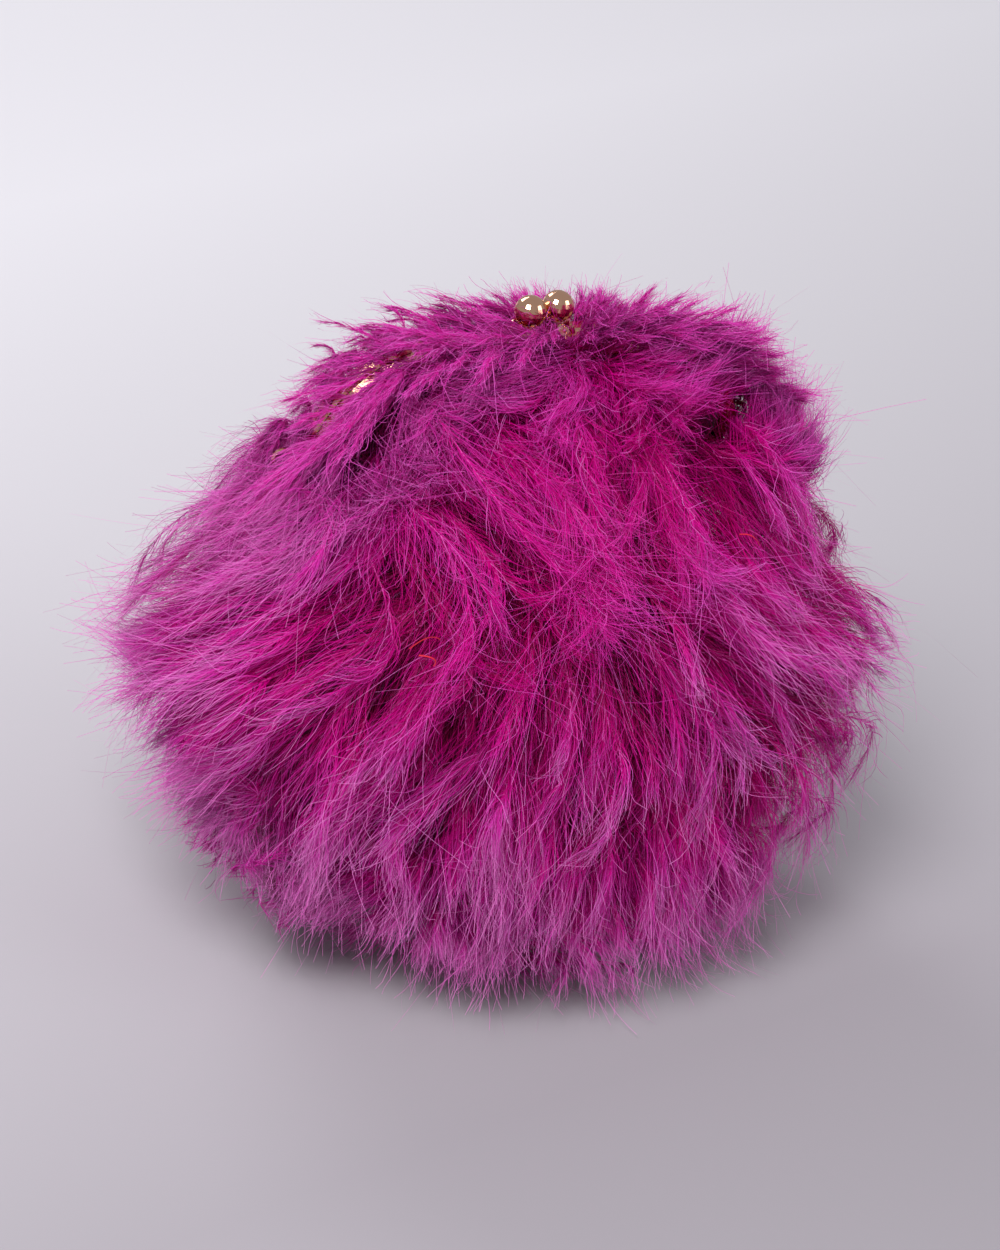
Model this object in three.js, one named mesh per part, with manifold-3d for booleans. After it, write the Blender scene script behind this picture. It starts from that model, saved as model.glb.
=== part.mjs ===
// Marabou evening clutch on an arched kiss-lock frame.
// Millimetres, +Z up, X across the width, -Y towards the front, origin at the middle of the base.

import * as THREE from 'three';
import { mergeVertices } from 'three/addons/utils/BufferGeometryUtils.js';
import Module from 'manifold-3d';

const wasm = await Module();
wasm.setup();

// ---- driving dimensions -------------------------------------------------------------------

// the frame: two arched channels that meet at the middle plane and turn on two rivets
const hingeHeight = 168;
const hingeHalfSpan = 72;
const archHeight = 40;
const archCornerRadius = 40;
const channelDepth = 7;
const channelWidth = 6;
const channelWall = 0.7;
const channelRounding = 0.9;
const halvesGap = 0.6;

// the hinge: an ear on each channel end, a rivet through both
const earThickness = 1.2;
const earRadius = 3.4;
const earReach = 8;
const earInset = 1.3;
const rivetRadius = 1.2;
const rivetHeadRadius = 2.3;
const rivetHeadThickness = 0.8;
const rivetRunningClearance = 0.1;
const legEndHeight = 4.5;

// the ball clasp
const ballDiameter = 10;
const ballRise = 8.5;
const ballPassingClearance = 0.4;
const ballCrossOver = 0.8;
const stemRadius = 0.9;
const stemSpread = 4.3;
const stemFootRadius = 1.9;
const stemFootThickness = 0.8;
const collarRadius = 1.7;
const collarHeight = 1.4;

// the standing eye at each end, for a chain's clip
const eyeOuterDiameter = 6.9;
const eyeWire = 1.4;
const eyeRounding = 0.45;
const eyeShankLength = 1.2;
const eyeHeight = 7;

// the sewn pouch
const pouchHalfWidth = 86;
const pouchHalfDepth = 31;
const pouchFloor = 16;
const pouchBellyHeight = 88;
const pouchFloorHalfWidth = 46;
const pouchFloorHalfDepth = 12;
const neckSideClearance = 2.25;
const neckRise = 10;
const panelEntry = 3;
const slotClearance = 0.2;
const shellThickness = 0.6;
const interliningThickness = 0.5;
const liningThickness = 0.5;

// the slip pocket on the rear lining
const pocketHalfWidth = 42;
const pocketLow = 52;
const pocketHigh = 118;
const pocketThickness = 0.5;

// the marabou rows sewn round the pouch
const fluffHalfWidth = 129;
const fluffHalfDepth = 80;
const fluffTop = 217;
const fluffBellyHeight = 100;
const fluffBaseHalfWidth = 63;
const fluffRoundness = 2.15;
const lowerRowCount = 6;
const upperRowCount = 2;
const fluffFrameClearance = 0.5;

// the gap left between pieces that touch
const fit = 0.3;

// ---- sizes that follow ---------------------------------------------------------------------

const halfStart = halvesGap / 2;
const halfMiddle = halfStart + channelWidth / 2;
const halfEnd = halfStart + channelWidth;
const frameTop = hingeHeight + archHeight + channelDepth / 2;
const innerEarStart = hingeHalfSpan - earInset - fit / 2 - earThickness;
const outerEarStart = innerEarStart + earThickness + fit;
const ballRadius = ballDiameter / 2;
const ballOffset = ballRadius + ballPassingClearance / 2;
const ballHeight = frameTop + ballRise;
const legSweep = Math.hypot( halfEnd, legEndHeight );
const upperRowsStart = hingeHeight - legSweep - fit;
const fluffInnerHalf = Math.max( halfEnd, ballRadius + ballCrossOver ) + fluffFrameClearance;
const interliningInset = shellThickness + fit;
const liningInset = interliningInset + interliningThickness + fit;
const cavityInset = liningInset + liningThickness;
const neckHalfWidth = innerEarStart - fit - rivetHeadThickness - neckSideClearance;
const neckHalfDepth = halfEnd - channelWall - slotClearance;
const slotStart = halfStart + channelWall;
const paperCordRadius = ( neckHalfDepth - cavityInset - slotStart ) / 2 - fit;
const beyond = 400;

// ---- solids and geometry ---------------------------------------------------------------------

// a closed three.js geometry as a solid, without the slivers that an axis or a pole leaves
function solidOf( geometry ) {

	const bare = geometry.clone();
	bare.deleteAttribute( 'normal' );
	bare.deleteAttribute( 'uv' );
	const merged = mergeVertices( bare, 1e-4 );
	const corners = merged.index.array;
	const kept = [];
	for ( let i = 0; i < corners.length; i += 3 ) {

		const [ a, b, c ] = corners.slice( i, i + 3 );
		if ( a !== b && b !== c && c !== a ) kept.push( a, b, c );

	}

	return new wasm.Manifold( new wasm.Mesh( {
		numProp: 3,
		vertProperties: new Float32Array( merged.attributes.position.array ),
		triVerts: new Uint32Array( kept ),
	} ) );

}

function geometryOf( solid ) {

	const mesh = solid.getMesh();
	const geometry = new THREE.BufferGeometry();
	geometry.setAttribute( 'position', new THREE.BufferAttribute( mesh.vertProperties, 3 ) );
	geometry.setIndex( new THREE.BufferAttribute( mesh.triVerts, 1 ) );
	geometry.computeVertexNormals();
	return geometry;

}

// a block between two corners
function block( low, high ) {

	const size = high.map( ( value, i ) => value - low[ i ] );
	const middle = high.map( ( value, i ) => ( value + low[ i ] ) / 2 );
	const box = new THREE.BoxGeometry( ...size );
	box.translate( ...middle );
	return solidOf( box );

}

// everything between two heights
function slab( low, high ) {

	return block( [ - beyond, - beyond, low ], [ beyond, beyond, high ] );

}

// everything on one side of the middle plane: side -1 is the front, 1 the rear
function sideOfMiddle( side, gap ) {

	const near = side * gap;
	const far = side * beyond;
	return block( [ - beyond, Math.min( near, far ), - beyond ], [ beyond, Math.max( near, far ), beyond ] );

}

// an outline in X and Z, given thickness along Y
function acrossDepth( shape, low, high, rounding = 0 ) {

	const geometry = new THREE.ExtrudeGeometry( shape, {
		depth: high - low - 2 * rounding,
		curveSegments: 6,
		bevelEnabled: rounding > 0,
		bevelSize: rounding,
		bevelOffset: - rounding,
		bevelThickness: rounding,
		bevelSegments: 1,
	} );
	geometry.rotateX( Math.PI / 2 );
	geometry.translate( 0, high - rounding, 0 );
	return solidOf( geometry );

}

// an outline in Y and Z, given thickness along X
function acrossWidth( shape, low, high ) {

	const geometry = new THREE.ExtrudeGeometry( shape, {
		depth: high - low,
		curveSegments: 7,
		bevelEnabled: false,
	} );
	const toWidth = new THREE.Matrix4().makeBasis(
		new THREE.Vector3( 0, 1, 0 ),
		new THREE.Vector3( 0, 0, 1 ),
		new THREE.Vector3( 1, 0, 0 ),
	);
	geometry.applyMatrix4( toWidth );
	geometry.translate( low, 0, 0 );
	return solidOf( geometry );

}

// a round rod along X
function rodAcross( radius, low, high, y, z ) {

	const rod = new THREE.CylinderGeometry( radius, radius, high - low, 20 );
	rod.rotateZ( Math.PI / 2 );
	rod.translate( ( low + high ) / 2, y, z );
	return solidOf( rod );

}

// ---- the frame ---------------------------------------------------------------------------------

// the line that the frame follows at one distance outside its middle line
class ArchCurve extends THREE.Curve {

	constructor( offset, y, endHeight ) {

		super();
		this.radius = archCornerRadius + offset;
		this.y = y;
		this.centreX = hingeHalfSpan - archCornerRadius;
		this.centreZ = hingeHeight + archHeight - archCornerRadius;
		this.startAngle = Math.asin( ( hingeHeight + endHeight - this.centreZ ) / this.radius );
		this.bend = this.radius * ( Math.PI / 2 - this.startAngle );
		this.total = 2 * this.bend + 2 * this.centreX;

	}

	getPoint( t, target = new THREE.Vector3() ) {

		const along = t * this.total;
		const fromMiddle = Math.abs( along - this.total / 2 );
		const side = along < this.total / 2 ? - 1 : 1;
		const past = Math.max( 0, fromMiddle - this.centreX );
		const angle = Math.PI / 2 - past / this.radius;
		const x = Math.min( fromMiddle, this.centreX ) + this.radius * Math.cos( angle );
		return target.set( side * x, this.y, this.centreZ + this.radius * Math.sin( angle ) );

	}

}

// the outline of an arched band between two distances outside the frame's middle line
function archBand( outer, inner, low ) {

	const centreX = hingeHalfSpan - archCornerRadius;
	const centreZ = hingeHeight + archHeight - archCornerRadius;
	const outerRadius = archCornerRadius + outer;
	const innerRadius = archCornerRadius + inner;
	const band = new THREE.Shape();
	band.moveTo( - centreX - outerRadius, low );
	band.lineTo( - centreX - outerRadius, centreZ );
	band.absarc( - centreX, centreZ, outerRadius, Math.PI, Math.PI / 2, true );
	band.absarc( centreX, centreZ, outerRadius, Math.PI / 2, 0, true );
	band.lineTo( centreX + outerRadius, low );
	band.lineTo( centreX + innerRadius, low );
	band.lineTo( centreX + innerRadius, centreZ );
	band.absarc( centreX, centreZ, innerRadius, 0, Math.PI / 2, false );
	band.absarc( - centreX, centreZ, innerRadius, Math.PI / 2, Math.PI, false );
	band.lineTo( - centreX - innerRadius, low );
	band.closePath();
	return band;

}

// one half of the frame: an arched channel open towards the inside, with an ear at each end
function frameHalf( side, earStart ) {

	const edges = [ side * halfStart, side * halfEnd ];
	const slot = [ side * slotStart, side * ( halfEnd - channelWall ) ];
	const low = hingeHeight - archCornerRadius;
	const outside = channelDepth / 2;
	const outer = archBand( outside, - outside, low );
	const hollow = archBand( outside - channelWall, - outside - channelWall, low - channelWall );
	const body = acrossDepth( outer, Math.min( ...edges ), Math.max( ...edges ), channelRounding );
	const cavity = acrossDepth( hollow, Math.min( ...slot ), Math.max( ...slot ) );
	let half = body.subtract( cavity ).intersect( slab( hingeHeight + legEndHeight, beyond ) );
	for ( const end of [ - 1, 1 ] ) {

		const x = [ end * earStart, end * ( earStart + earThickness ) ];
		const y = [ side * halfStart, side * ( halfEnd - channelRounding / 2 ) ];
		const lowX = Math.min( ...x );
		const highX = Math.max( ...x );
		const disc = rodAcross( earRadius, lowX, highX, 0, hingeHeight );
		const arm = block(
			[ lowX, Math.min( ...y ), hingeHeight ],
			[ highX, Math.max( ...y ), hingeHeight + earReach ],
		);
		const hole = rodAcross( rivetRadius + rivetRunningClearance, lowX - 1, highX + 1, 0, hingeHeight );
		half = half.add( disc.add( arm ) ).subtract( hole );

	}

	return half;

}

// a rivet through both ears, headed inside and out
function hingeRivet( end ) {

	const innerHead = innerEarStart - fit;
	const outerHead = outerEarStart + earThickness + fit;
	const profile = [
		[ 0, innerHead - rivetHeadThickness ],
		[ rivetHeadRadius * 0.7, innerHead - rivetHeadThickness ],
		[ rivetHeadRadius, innerHead - rivetHeadThickness * 0.5 ],
		[ rivetHeadRadius, innerHead ],
		[ rivetRadius, innerHead ],
		[ rivetRadius, outerHead ],
		[ rivetHeadRadius, outerHead ],
		[ rivetHeadRadius, outerHead + rivetHeadThickness * 0.5 ],
		[ rivetHeadRadius * 0.7, outerHead + rivetHeadThickness ],
		[ 0, outerHead + rivetHeadThickness ],
	];
	const rivet = new THREE.LatheGeometry( profile.map( ( p ) => new THREE.Vector2( ...p ) ), 20 );
	rivet.rotateZ( - end * Math.PI / 2 );
	rivet.translate( 0, 0, hingeHeight );
	return solidOf( rivet );

}

// the wire eye beside the hinge, its flat sides facing front and rear, on a short shank
function chainEye( end ) {

	const middleX = hingeHalfSpan + channelDepth / 2 + fit + eyeShankLength + eyeOuterDiameter / 2;
	const middleZ = hingeHeight + eyeHeight;
	const outerRadius = eyeOuterDiameter / 2;
	const ring = new THREE.Shape();
	ring.absarc( end * middleX, middleZ, outerRadius, 0, 2 * Math.PI, false );
	const hole = new THREE.Path();
	hole.absarc( end * middleX, middleZ, outerRadius - eyeWire, 0, 2 * Math.PI, true );
	ring.holes.push( hole );
	const eye = acrossDepth( ring, halfMiddle - eyeWire / 2, halfMiddle + eyeWire / 2, eyeRounding );
	const shankEnds = [ end * ( middleX - outerRadius - eyeShankLength ), end * ( middleX - outerRadius + eyeWire / 2 ) ];
	const shank = rodAcross( eyeWire / 2, Math.min( ...shankEnds ), Math.max( ...shankEnds ), halfMiddle, middleZ );
	return eye.add( shank );

}

// where a clasp ball stands: side -1 belongs to the front half, which holds the ball on the right
function ballCentre( side ) {

	return new THREE.Vector3( - side * ballOffset, - side * ballCrossOver, ballHeight );

}

function claspBall( side ) {

	const ball = new THREE.SphereGeometry( ballRadius, 20, 12 );
	ball.rotateX( Math.PI / 2 );
	ball.translate( ...ballCentre( side ).toArray() );
	return solidOf( ball );

}

// the leaning stem under a ball: a foot on the frame, a bent rod and a collar below the ball
function claspStem( side ) {

	const centre = ballCentre( side );
	const foot = new THREE.Vector3( centre.x - side * stemSpread, side * halfMiddle, frameTop + fit );
	const lean = new THREE.Vector3( foot.x - centre.x, foot.y - centre.y, - ballRise ).normalize();
	const top = centre.clone().addScaledVector( lean, ballRadius + fit );
	const elbow = new THREE.Vector3( foot.x, foot.y, ( foot.z + top.z ) / 2 + stemRadius );
	const route = new THREE.QuadraticBezierCurve3( foot, elbow, top.clone().addScaledVector( lean, fit ) );
	const section = new THREE.Shape();
	section.absarc( 0, 0, stemRadius, 0, 2 * Math.PI, false );
	const rod = solidOf( new THREE.ExtrudeGeometry( section, { steps: 6, curveSegments: 4, extrudePath: route } ) );
	const plate = new THREE.CylinderGeometry( stemFootRadius, stemFootRadius, stemFootThickness, 16 );
	plate.rotateX( Math.PI / 2 );
	plate.translate( foot.x, foot.y, foot.z + stemFootThickness / 2 );
	const collar = new THREE.CylinderGeometry( collarRadius, collarRadius * 0.75, collarHeight, 16 );
	collar.translate( 0, - collarHeight / 2, 0 );
	collar.applyQuaternion( new THREE.Quaternion().setFromUnitVectors( new THREE.Vector3( 0, - 1, 0 ), lean ) );
	collar.translate( ...top.toArray() );
	return rod.add( solidOf( plate ) ).add( solidOf( collar ) );

}

// the twisted paper cord that wedges the fabric into a channel
function paperCord( side ) {

	const y = side * ( slotStart + fit + paperCordRadius );
	const section = new THREE.Shape();
	section.absarc( 0, 0, paperCordRadius, 0, 2 * Math.PI, false );
	const route = new ArchCurve( 0, y, earReach + 2 );
	return solidOf( new THREE.ExtrudeGeometry( section, { steps: 28, curveSegments: 4, extrudePath: route } ) );

}

// ---- the pouch ----------------------------------------------------------------------------------

// the pouch's outline from the front, one inset smaller all round; wide at the arch when it cuts the mouth
function pouchOutline( inset, mouthOutset = 0 ) {

	const centreX = hingeHalfSpan - archCornerRadius;
	const centreZ = hingeHeight + archHeight - archCornerRadius;
	const radius = archCornerRadius - channelDepth / 2 + panelEntry - inset + mouthOutset;
	const startAngle = Math.asin( ( hingeHeight + neckRise - centreZ ) / radius );
	const neckX = neckHalfWidth - inset;
	const bellyX = pouchHalfWidth - inset;
	const floorX = pouchFloorHalfWidth;
	const floorZ = pouchFloor + inset;
	const neckZ = hingeHeight - neckRise;
	const swell = ( neckZ - pouchBellyHeight ) / 2;
	const drop = ( pouchBellyHeight - floorZ ) * 0.6;
	const sideX = centreX + radius * Math.cos( startAngle );
	const outline = new THREE.Shape();
	outline.moveTo( - floorX, floorZ );
	outline.lineTo( floorX, floorZ );
	outline.bezierCurveTo( bellyX - 10, floorZ, bellyX, pouchBellyHeight - drop, bellyX, pouchBellyHeight );
	outline.bezierCurveTo( bellyX, pouchBellyHeight + swell, neckX, neckZ - swell, neckX, neckZ );
	outline.lineTo( neckX, hingeHeight + neckRise / 2 );
	outline.lineTo( sideX, hingeHeight + neckRise );
	outline.absarc( centreX, centreZ, radius, startAngle, Math.PI / 2, false );
	outline.absarc( - centreX, centreZ, radius, Math.PI / 2, Math.PI - startAngle, false );
	outline.lineTo( - neckX, hingeHeight + neckRise / 2 );
	outline.lineTo( - neckX, neckZ );
	outline.bezierCurveTo( - neckX, neckZ - swell, - bellyX, pouchBellyHeight + swell, - bellyX, pouchBellyHeight );
	outline.bezierCurveTo( - bellyX, pouchBellyHeight - drop, 10 - bellyX, floorZ, - floorX, floorZ );
	return outline;

}

// the pouch's profile from the side: flat between the channels, round below the hinge
function pouchProfile( inset ) {

	const neckY = neckHalfDepth - inset;
	const bellyY = pouchHalfDepth - inset;
	const floorY = pouchFloorHalfDepth;
	const floorZ = pouchFloor + inset;
	const neckZ = hingeHeight + neckRise / 2;
	const swell = ( neckZ - pouchBellyHeight ) / 2;
	const drop = ( pouchBellyHeight - floorZ ) * 0.6;
	const profile = new THREE.Shape();
	profile.moveTo( - floorY, floorZ );
	profile.lineTo( floorY, floorZ );
	profile.bezierCurveTo( bellyY - 4, floorZ, bellyY, pouchBellyHeight - drop, bellyY, pouchBellyHeight );
	profile.bezierCurveTo( bellyY, pouchBellyHeight + swell, neckY, neckZ - swell, neckY, neckZ );
	profile.lineTo( neckY, beyond );
	profile.lineTo( - neckY, beyond );
	profile.lineTo( - neckY, neckZ );
	profile.bezierCurveTo( - neckY, neckZ - swell, - bellyY, pouchBellyHeight + swell, - bellyY, pouchBellyHeight );
	profile.bezierCurveTo( - bellyY, pouchBellyHeight - drop, 4 - bellyY, floorZ, - floorY, floorZ );
	return profile;

}

// the whole pouch as one closed body, one inset smaller all round
function pouchBody( inset, mouthOutset = 0 ) {

	const fromFront = acrossDepth( pouchOutline( inset, mouthOutset ), - beyond, beyond );
	const fromSide = acrossWidth( pouchProfile( inset ), - beyond, beyond );
	return fromFront.intersect( fromSide );

}

// one sewn panel: a layer of the pouch, front or rear, open at the mouth
function pouchPanel( side, inset, thickness ) {

	const outside = pouchBody( inset );
	const inside = pouchBody( inset + thickness, channelDepth );
	return outside.subtract( inside ).intersect( sideOfMiddle( side, fit / 2 ) );

}

// a flat pocket sewn to the rear lining
function slipPocket() {

	const inset = cavityInset + fit;
	const layer = pouchBody( inset ).subtract( pouchBody( inset + pocketThickness, channelDepth ) );
	const patch = block( [ - pocketHalfWidth, fit, pocketLow ], [ pocketHalfWidth, beyond, pocketHigh ] );
	return layer.intersect( patch );

}

// ---- the marabou ----------------------------------------------------------------------------------

// the outer shape of the feathers: a flattened puff with a small flat base
function fluffBody() {

	const power = 2 / fluffRoundness;
	const baseAngle = Math.acos( Math.pow( fluffBaseHalfWidth / fluffHalfWidth, 1 / power ) );
	const bottomDepth = fluffBellyHeight / Math.pow( Math.sin( baseAngle ), power );
	const steps = 18;
	const profile = [ new THREE.Vector2( 0, 0 ) ];
	for ( let i = 0; i <= steps; i ++ ) {

		const angle = THREE.MathUtils.lerp( - baseAngle, Math.PI / 2, i / steps );
		const reach = angle < 0 ? - bottomDepth : fluffTop - fluffBellyHeight;
		const height = fluffBellyHeight + reach * Math.pow( Math.abs( Math.sin( angle ) ), power );
		const radius = fluffHalfWidth * Math.pow( Math.cos( angle ), power );
		profile.push( new THREE.Vector2( i === steps ? 0 : radius, height ) );

	}

	const puff = new THREE.LatheGeometry( profile, 48 );
	puff.rotateX( Math.PI / 2 );
	puff.scale( 1, fluffHalfDepth / fluffHalfWidth, 1 );
	return solidOf( puff );

}

const fluff = fluffBody();
const pouchClearance = pouchBody( - fit );

// a row that goes right round the pouch
function lowerRow( index ) {

	const rowHeight = upperRowsStart / lowerRowCount;
	const low = index * rowHeight;
	const layer = slab( index === 0 ? - 1 : low, low + rowHeight - fit );
	return fluff.intersect( layer ).subtract( pouchClearance );

}

// a row above the hinge, on the front or the rear half
function upperRow( side, index ) {

	const rowHeight = ( fluffTop - upperRowsStart ) / upperRowCount;
	const low = upperRowsStart + index * rowHeight;
	const high = index === upperRowCount - 1 ? beyond : low + rowHeight - fit;
	return fluff.intersect( slab( low, high ) ).intersect( sideOfMiddle( side, fluffInnerHalf ) ).subtract( pouchClearance );

}

// ---- the assembly ------------------------------------------------------------------------------------

const group = new THREE.Group();

const paleGold = { color: 0xe3bd92, roughness: 0.14, metalness: 1 };
const paper = { color: 0xc9b58f, roughness: 0.9, metalness: 0 };
const satin = { color: 0x8a0f5c, roughness: 0.45, metalness: 0 };
const felt = { color: 0xe9e4dc, roughness: 0.95, metalness: 0 };
const marabou = { color: 0x9b1370, roughness: 0.9, metalness: 0 };

function addPart( name, solid, finish ) {

	const mesh = new THREE.Mesh( geometryOf( solid ), new THREE.MeshStandardMaterial( finish ) );
	mesh.name = name;
	group.add( mesh );

}

addPart( 'rear_frame', frameHalf( 1, outerEarStart ), paleGold );
addPart( 'front_frame', frameHalf( - 1, innerEarStart ), paleGold );

for ( const [ name, side ] of [ [ 'front', - 1 ], [ 'rear', 1 ] ] ) {

	addPart( `${ name }_clasp_stem`, claspStem( side ), paleGold );
	addPart( `${ name }_clasp_ball`, claspBall( side ), paleGold );
	addPart( `${ name }_paper_cord`, paperCord( side ), paper );
	addPart( `${ name }_shell_panel`, pouchPanel( side, 0, shellThickness ), satin );
	addPart( `${ name }_interlining`, pouchPanel( side, interliningInset, interliningThickness ), felt );
	addPart( `${ name }_lining_panel`, pouchPanel( side, liningInset, liningThickness ), satin );
	for ( let i = 0; i < upperRowCount; i ++ ) {

		addPart( `${ name }_marabou_row_${ lowerRowCount + i + 1 }`, upperRow( side, i ), marabou );

	}

}

for ( const [ name, end ] of [ [ 'left', - 1 ], [ 'right', 1 ] ] ) {

	addPart( `${ name }_hinge_rivet`, hingeRivet( end ), paleGold );
	addPart( `${ name }_chain_eye`, chainEye( end ), paleGold );

}

addPart( 'slip_pocket', slipPocket(), satin );

for ( let i = 0; i < lowerRowCount; i ++ ) {

	addPart( `marabou_row_${ i + 1 }`, lowerRow( i ), marabou );

}

export default group;
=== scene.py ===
import math
import bpy
import numpy as np
from mathutils import Matrix, Vector
from mathutils.bvhtree import BVHTree


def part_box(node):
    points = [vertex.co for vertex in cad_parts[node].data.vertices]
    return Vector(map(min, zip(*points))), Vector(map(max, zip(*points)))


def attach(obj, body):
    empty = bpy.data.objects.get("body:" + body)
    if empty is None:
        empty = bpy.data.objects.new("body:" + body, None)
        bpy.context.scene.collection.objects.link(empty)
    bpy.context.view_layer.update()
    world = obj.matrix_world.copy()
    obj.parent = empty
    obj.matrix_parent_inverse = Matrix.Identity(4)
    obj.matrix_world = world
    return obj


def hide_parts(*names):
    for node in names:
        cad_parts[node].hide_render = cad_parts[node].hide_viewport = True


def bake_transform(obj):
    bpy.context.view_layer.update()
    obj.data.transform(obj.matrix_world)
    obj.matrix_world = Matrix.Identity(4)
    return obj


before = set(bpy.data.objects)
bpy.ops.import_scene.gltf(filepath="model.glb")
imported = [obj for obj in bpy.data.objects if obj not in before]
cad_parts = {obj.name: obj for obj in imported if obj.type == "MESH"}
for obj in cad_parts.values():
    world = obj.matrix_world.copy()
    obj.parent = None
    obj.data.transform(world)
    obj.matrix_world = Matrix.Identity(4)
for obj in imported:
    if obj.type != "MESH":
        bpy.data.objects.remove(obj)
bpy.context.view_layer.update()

mm = 0.001
scene = bpy.context.scene


def linearColour(hexText):
    parts = [int(hexText[i:i + 2], 16) / 255 for i in (1, 3, 5)]
    linear = [c / 12.92 if c <= 0.04045 else ((c + 0.055) / 1.055) ** 2.4 for c in parts]
    return (*linear, 1.0)


def addNode(tree, kind, settings=None, links=None):
    node = tree.nodes.new(kind)
    for name, value in (settings or {}).items():
        if isinstance(name, int) or name in node.inputs:
            node.inputs[name].default_value = value
        else:
            setattr(node, name, value)
    for name, source in (links or {}).items():
        tree.links.new(source, node.inputs[name])
    return node


def startMaterial(name):
    material = bpy.data.materials.new(name)
    material.use_nodes = True
    material.node_tree.nodes.clear()
    return material, material.node_tree


def finishMaterial(material, tree, shader):
    output = addNode(tree, "ShaderNodeOutputMaterial")
    tree.links.new(shader.outputs[0], output.inputs["Surface"])
    return material


def setRamp(node, stops):
    ramp = node.color_ramp
    while len(ramp.elements) < len(stops):
        ramp.elements.new(0.5)
    for element, (where, colour) in zip(ramp.elements, stops):
        element.position = where
        element.color = linearColour(colour) if isinstance(colour, str) else (colour, colour, colour, 1)


def unit(v):
    return v / np.maximum(np.linalg.norm(v, axis=-1, keepdims=True), 1e-9)


def surfaceOf(data):
    return BVHTree.FromPolygons([v.co for v in data.vertices], [p.vertices for p in data.polygons])


def meshPiece(name, points, quads, material, uv=None):
    mesh = bpy.data.meshes.new(name)
    mesh.vertices.add(len(points))
    mesh.vertices.foreach_set("co", np.ascontiguousarray(points, np.float32).ravel())
    mesh.loops.add(quads.size)
    mesh.loops.foreach_set("vertex_index", np.ascontiguousarray(quads, np.int32).ravel())
    mesh.polygons.add(len(quads))
    mesh.polygons.foreach_set("loop_start", np.arange(0, quads.size, quads.shape[1], dtype=np.int32))
    mesh.polygons.foreach_set("use_smooth", np.full(len(quads), True))
    mesh.update(calc_edges=True)
    if uv is not None:
        layer = mesh.uv_layers.new(name="OFBake")
        layer.data.foreach_set("uv", np.ascontiguousarray(uv[quads.ravel()], np.float32).ravel())
    piece = bpy.data.objects.new(name, mesh)
    piece.data.materials.append(material)
    scene.collection.objects.link(piece)
    return piece


def standIn(piece, body, node):
    # pieces of the "opening" keep their place, baked into the mesh; the others are attached to their body
    if body == "opening":
        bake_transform(piece)
    else:
        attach(piece, body)
    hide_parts(node)


camera = {
    "azimuth": -32.7,
    "elevation": 29.5,
    "roll": 10.4,
    "distance": 1.5,
    "lens": 137.4,
    "sensor": 36,
    "aim": (0, 0, 0.110),
    "shiftRight": 0.0102,
    "shiftUp": 0.0046,
}


def makeCamera(c):
    data = bpy.data.cameras.new("camera")
    data.lens = c["lens"]
    data.sensor_width = c["sensor"]
    data.shift_x = c["shiftRight"]
    data.shift_y = -c["shiftUp"]
    data.clip_end = 20
    lens = bpy.data.objects.new("camera", data)
    a, e = math.radians(c["azimuth"]), math.radians(c["elevation"])
    back = Vector((math.sin(a) * math.cos(e), -math.cos(a) * math.cos(e), math.sin(e)))
    lens.location = Vector(c["aim"]) + back * c["distance"]
    turn = (-back).to_track_quat("-Z", "Y")
    lens.rotation_mode = "QUATERNION"
    lens.rotation_quaternion = turn @ Matrix.Rotation(math.radians(c["roll"]), 3, "Z").to_quaternion()
    scene.collection.objects.link(lens)
    scene.camera = lens


makeCamera(camera)
viewer = np.array(scene.camera.location)
scene.view_settings.view_transform = "Standard"
print("camera placed")

# the dye's colours; the first ramp is painted shade and light, from dark wine deep in the feathers to pale
# pink at the outside and at the tips
dyeAndPaintedShade = {
    "shadedToLit": [(0.0, "#6e0030"), (0.3, "#b80066"), (0.6, "#de0098"), (0.82, "#e03cba"), (1.0, "#ee8ad6")],
    "strandTones": [(0.0, 0.32), (0.4, 0.85), (0.7, 1.0), (1.0, 1.0)],
    "quillAndHighlightShare": [(0.0, 0.0), (0.78, 0.0), (0.9, 0.3), (1.0, 0.65)],
    "quill": "#e68ce6",
    "letsThrough": 0.25,
}


def marabouDown():
    # dyed magenta marabou: soft barbs that let some light through; painted shade darkens them deep within
    # the feathers and near the root, and painted light makes them paler and pinker towards the outside and
    # at the tips
    material, tree = startMaterial("dyed_marabou_painted_shade")
    where = addNode(tree, "ShaderNodeUVMap", {"uv_map": "OFBake"})
    split = addNode(tree, "ShaderNodeSeparateXYZ", links={0: where.outputs["UV"]})
    shade = addNode(tree, "ShaderNodeValToRGB", links={"Fac": split.outputs["Y"]})
    setRamp(shade, dyeAndPaintedShade["shadedToLit"])
    tone = addNode(tree, "ShaderNodeValToRGB", links={"Fac": split.outputs["X"]})
    setRamp(tone, dyeAndPaintedShade["strandTones"])
    tinted = addNode(tree, "ShaderNodeMix", {"data_type": "RGBA", "blend_type": "MULTIPLY", 0: 1.0},
                     {6: shade.outputs["Color"], 7: tone.outputs["Color"]})
    # the quills' own pale colour, mixed also into the palest loose barbs as a painted highlight on strands
    # that catch the light
    pale = addNode(tree, "ShaderNodeValToRGB", links={"Fac": split.outputs["X"]})
    setRamp(pale, dyeAndPaintedShade["quillAndHighlightShare"])
    dyed = addNode(tree, "ShaderNodeMix", {"data_type": "RGBA", 7: linearColour(dyeAndPaintedShade["quill"])},
                   {0: pale.outputs["Color"], 6: tinted.outputs[2]})
    barb = addNode(tree, "ShaderNodeBsdfPrincipled",
                   {"Roughness": 0.45, "Specular IOR Level": 0.1},
                   {"Base Color": dyed.outputs[2]})
    glow = addNode(tree, "ShaderNodeBsdfTranslucent", links={"Color": dyed.outputs[2]})
    both = addNode(tree, "ShaderNodeMixShader", {"Fac": dyeAndPaintedShade["letsThrough"]},
                   {1: barb.outputs[0], 2: glow.outputs[0]})
    return finishMaterial(material, tree, both)


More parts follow.
